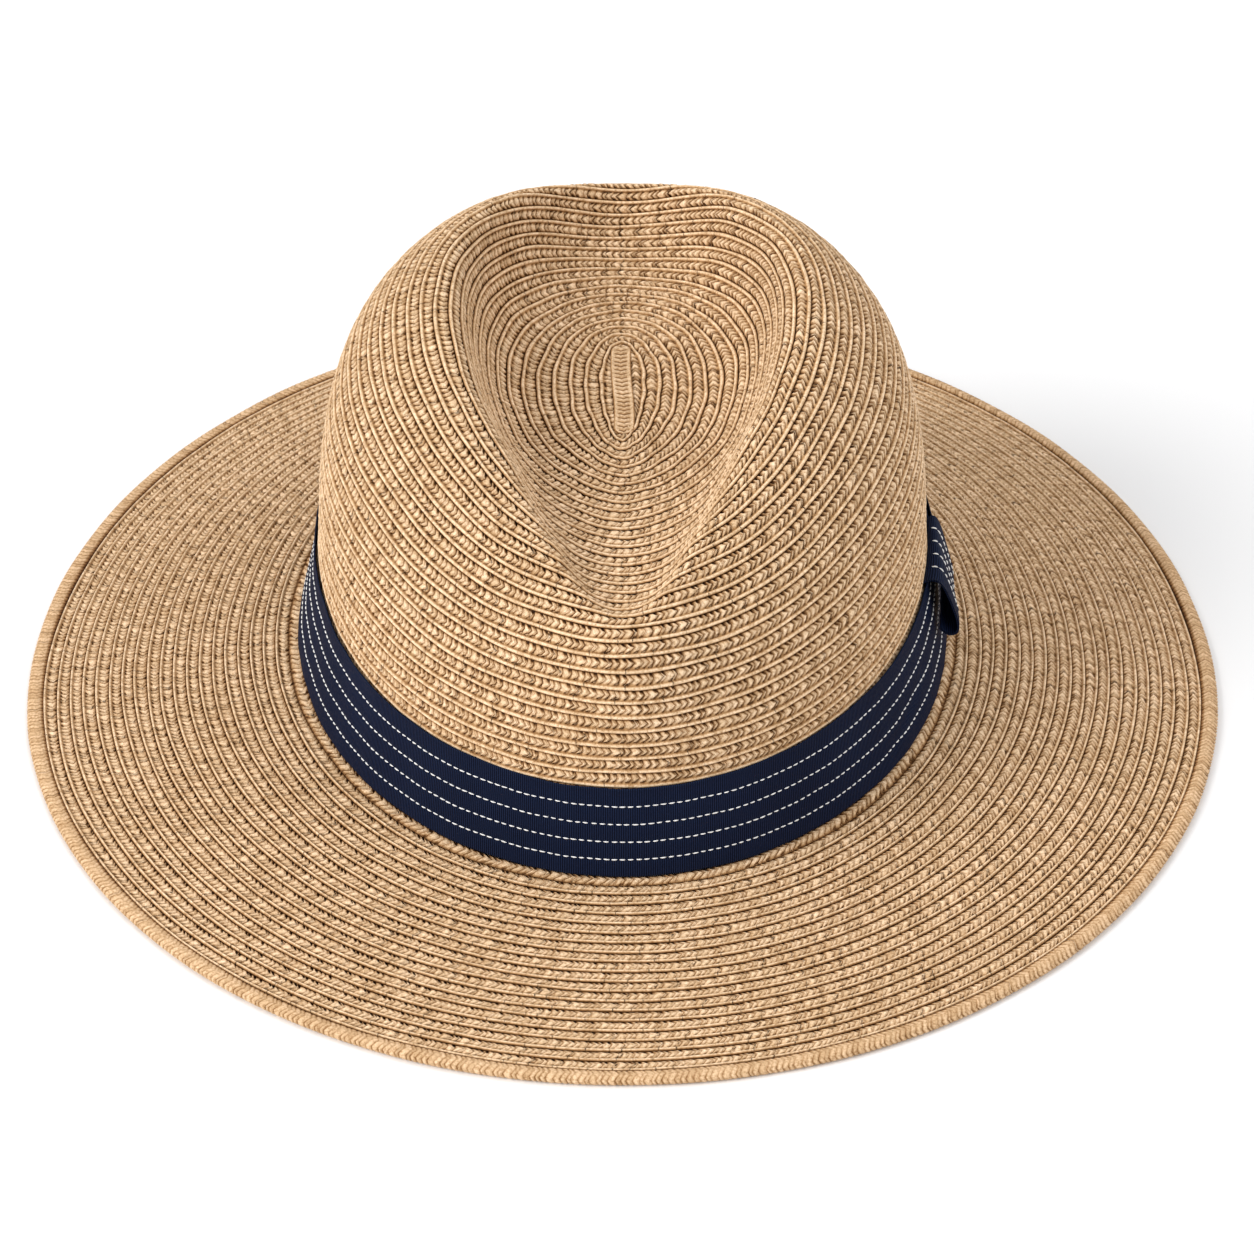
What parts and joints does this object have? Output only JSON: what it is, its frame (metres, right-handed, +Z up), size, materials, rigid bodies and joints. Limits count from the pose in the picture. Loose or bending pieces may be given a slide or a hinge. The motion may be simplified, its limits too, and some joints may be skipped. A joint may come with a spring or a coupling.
{
  "type": "straw fedora hat",
  "caption": "Sewn-braid straw hat with a teardrop crown pinched at the front, a wide oval brim and a dark ribbon band with light running stitches and a side knot.",
  "frame": {"origin": "centre of the bounding box at the flat underside of the brim's edge, which rests on a table", "axes": "+Z up, +Y to the back of the hat, +X to the wearer's left, where the ribbon's knot is"},
  "size_m": [0.3238, 0.3536, 0.1127],
  "materials": {
    "straw": "matte plaited paper straw",
    "ribbon": "ribbed grosgrain",
    "thread": "soft cotton thread",
    "ribbon_thread": "dark cotton thread",
    "sweatband": "ribbed cotton tape",
    "sweatband_thread": "cotton thread",
    "label": "woven satin tape"
  },
  "bodies": {
    "root": {"crown_braid": "straw", "crown_start_strip": "straw", "brim_braid": "straw", "brim_edge_braid": "straw", "hatband_ribbon": "ribbon", "side_knot_wrap": "ribbon", "side_knot_tail": "ribbon", "hatband_stitch_row_1": "thread", "hatband_stitch_row_2": "thread", "hatband_stitch_row_3": "thread", "hatband_stitch_row_4": "thread", "knot_tack_stitches": "ribbon_thread", "sweatband": "sweatband", "sweatband_stitching": "sweatband_thread", "sweatband_join_tab": "sweatband", "care_label": "label"}
  },
  "joints": []
}
